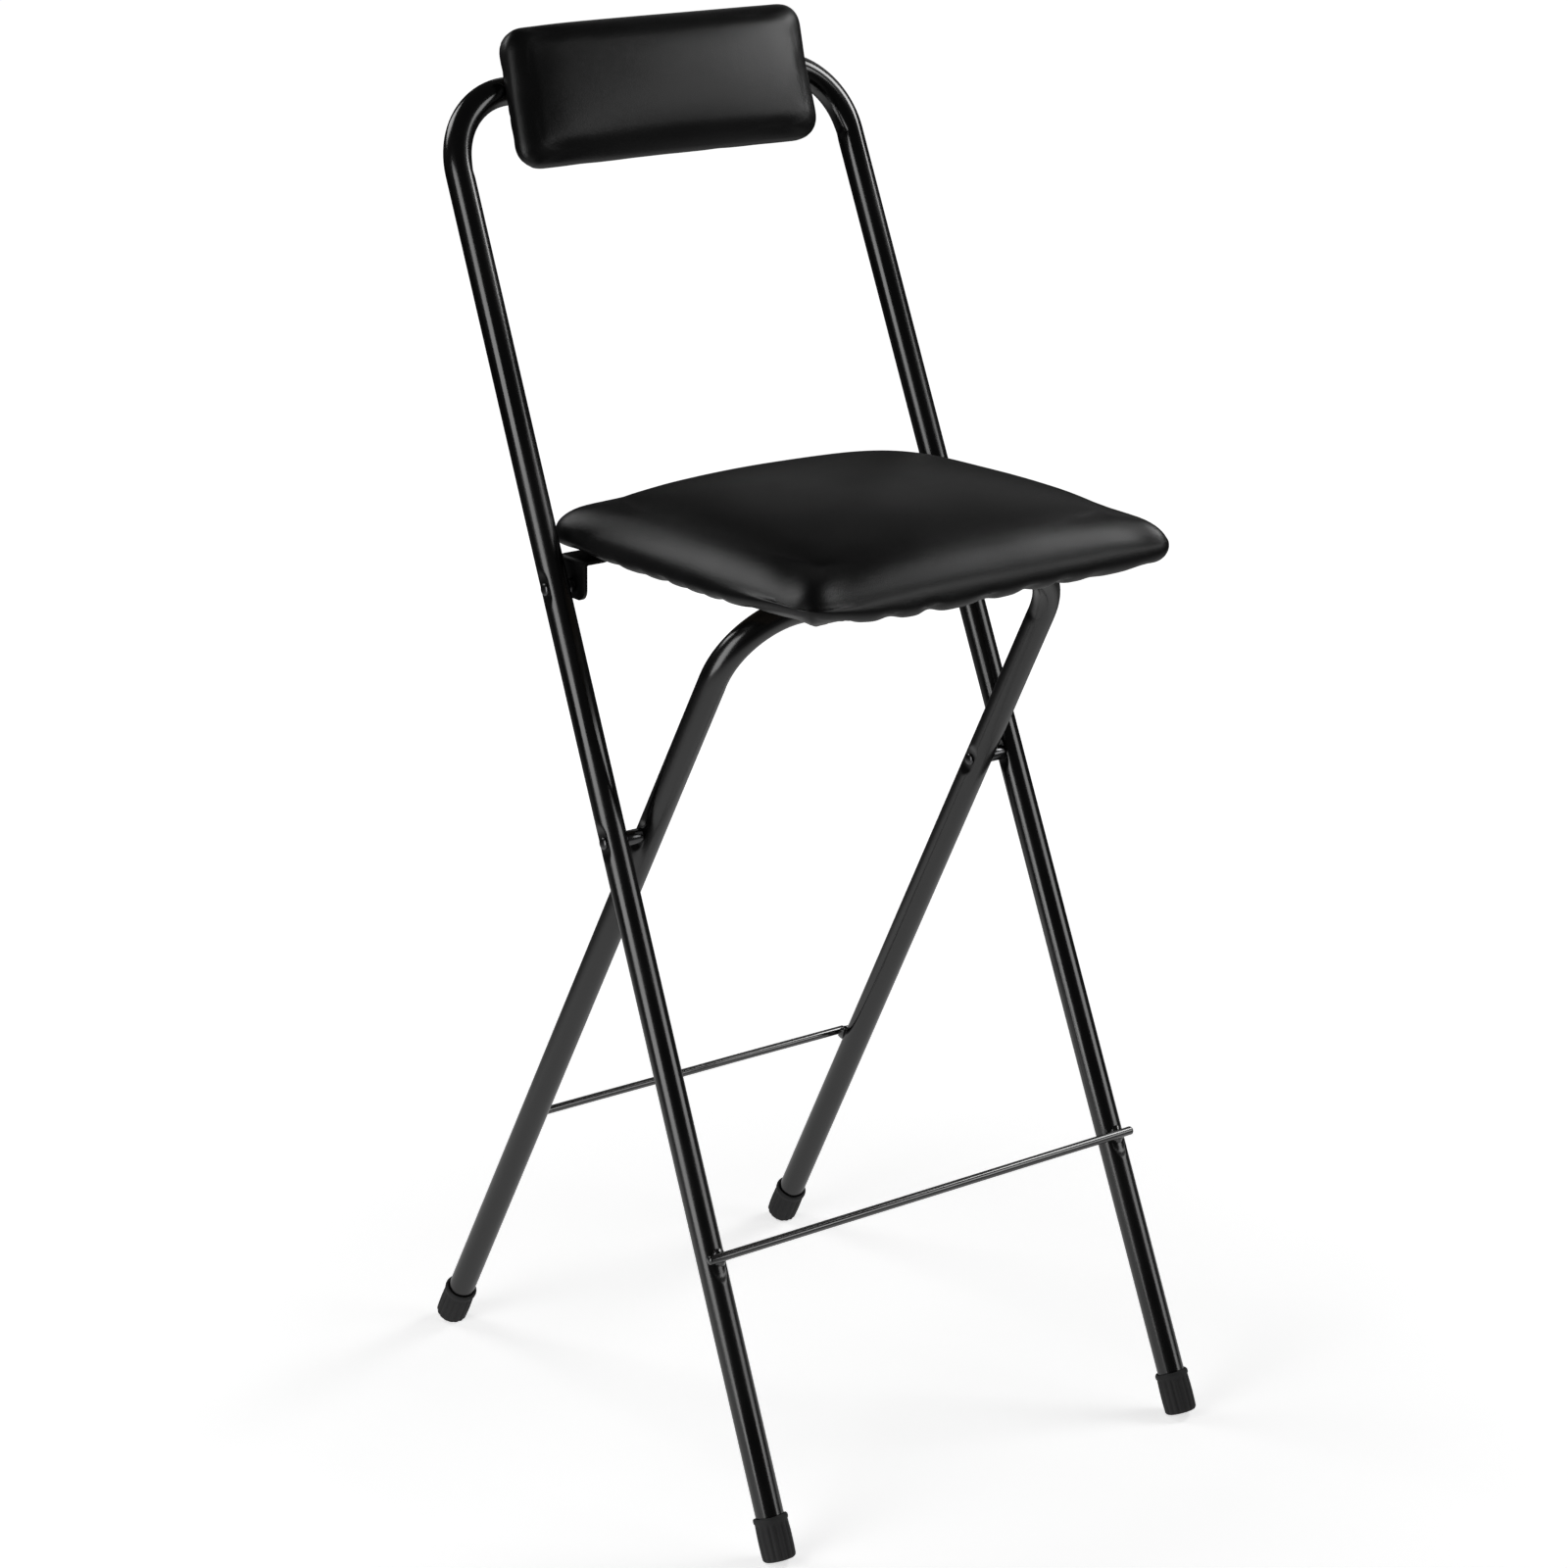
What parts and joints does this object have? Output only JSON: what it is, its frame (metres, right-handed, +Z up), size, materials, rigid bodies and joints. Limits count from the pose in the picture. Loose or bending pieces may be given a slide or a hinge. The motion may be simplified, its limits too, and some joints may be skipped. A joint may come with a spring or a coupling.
{
  "type": "folding bar stool",
  "caption": "Folding bar stool: crossed bent-tube frames, a padded seat that lifts to fold, a padded backrest, a footrest rod and rubber feet.",
  "frame": {"origin": "on the floor, under the middle of the bounding box", "axes": "+Z up; the front of the stool faces -Y; +X is to the right of someone looking at the front, so it is the sitter's left"},
  "size_m": [0.437, 0.5232, 1.0971],
  "materials": {
    "front_paint": "gloss",
    "rear_paint": "satin",
    "fastener": "satin",
    "rubber": "matte",
    "nylon": "matte",
    "plywood": "matte",
    "leatherette": "satin"
  },
  "bodies": {
    "front_frame": {"front_frame_tube": "front_paint", "front_stretcher": "front_paint", "front_foot_cap_left": "rubber", "front_foot_cap_right": "rubber", "leg_pivot_rivet_left": "fastener", "leg_pivot_rivet_right": "fastener", "leg_pivot_spacer_left": "fastener", "leg_pivot_spacer_right": "fastener", "seat_pivot_rivet_left": "fastener", "seat_pivot_rivet_right": "fastener", "seat_pivot_spacer_left": "fastener", "seat_pivot_spacer_right": "fastener", "backrest_board": "plywood", "backrest_cushion": "leatherette", "backrest_screw_left": "fastener", "backrest_screw_right": "fastener"},
    "rear_frame": {"rear_frame_tube": "rear_paint", "rear_stretcher": "rear_paint", "rear_foot_cap_left": "rubber", "rear_foot_cap_right": "rubber"},
    "seat": {"seat_hinge_strap": "rear_paint", "strap_screw_left_outer": "fastener", "strap_screw_left_inner": "fastener", "strap_screw_right_inner": "fastener", "strap_screw_right_outer": "fastener", "seat_board": "plywood", "seat_cushion": "leatherette", "crossbar_saddle_left": "nylon", "crossbar_saddle_right": "nylon", "saddle_screw_left": "fastener", "saddle_screw_right": "fastener"}
  },
  "joints": [
    {"name": "leg_pivot", "type": "hinge", "parent": "front_frame", "child": "rear_frame", "pos_m": [0, -0.02166, 0.5115], "axis": [-1, 0, 0], "range_deg": [0, 51]},
    {"name": "seat_pivot", "type": "hinge", "parent": "front_frame", "child": "seat", "pos_m": [0, 0.05998, 0.6924], "axis": [-1, 0, 0], "range_deg": [0, 112.2]}
  ],
  "couplings": [
    {"joint": "leg_pivot", "follows": "seat_pivot", "ratio": 0.4545}
  ]
}
